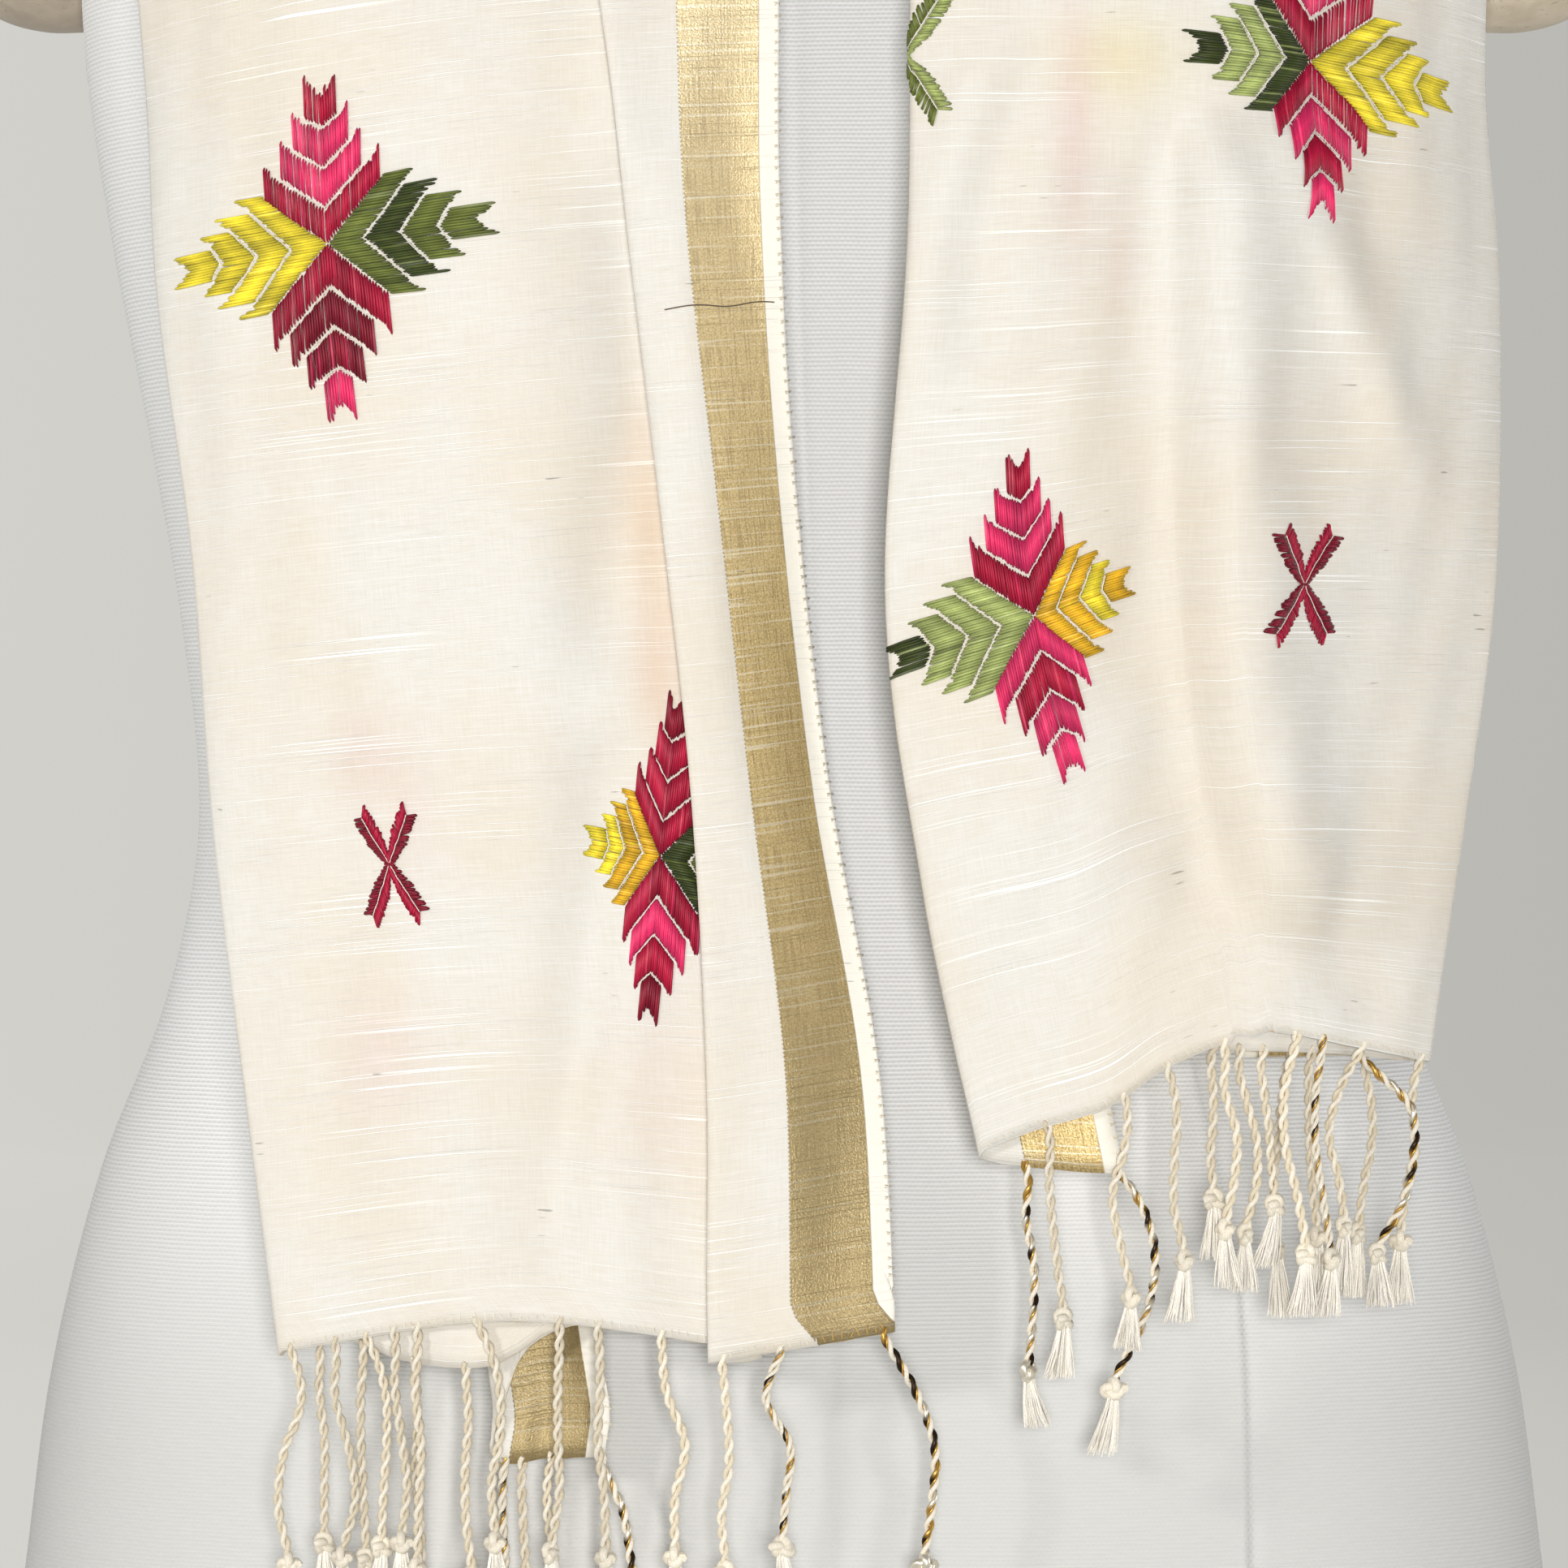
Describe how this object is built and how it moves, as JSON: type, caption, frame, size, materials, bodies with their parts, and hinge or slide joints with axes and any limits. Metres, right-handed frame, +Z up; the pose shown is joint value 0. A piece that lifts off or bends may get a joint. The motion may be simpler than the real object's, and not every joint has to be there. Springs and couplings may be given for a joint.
{
  "type": "embroidered dupatta stole on a table-top dress form",
  "caption": "Narrow folded stole with twisted fringes, laid over both shoulders of a limbless table-top dress form on a flat base.",
  "frame": {"origin": "the middle of the base's underside, on the surface that the form stands on", "axes": "+Z up, -Y the front of the form, +X to the viewer's right when looking at the front"},
  "size_m": [0.3866, 0.2742, 0.8466],
  "materials": {
    "stole_cloth": "fine slubbed handloom weave with a soft sheen",
    "fringe_thread": "twisted warp thread",
    "canvas": "matte ribbed canvas",
    "turned_wood": "pale satin varnish"
  },
  "bodies": {
    "root": {"form_base": "turned_wood", "form_torso": "canvas", "form_neck_cap": "turned_wood", "form_shoulder_cap_left": "turned_wood", "form_shoulder_cap_right": "turned_wood", "stole_left_front": "stole_cloth", "stole_left_back": "stole_cloth", "stole_right_back": "stole_cloth", "stole_right_front": "stole_cloth", "fringe_left": "fringe_thread", "fringe_right": "fringe_thread"}
  },
  "joints": []
}
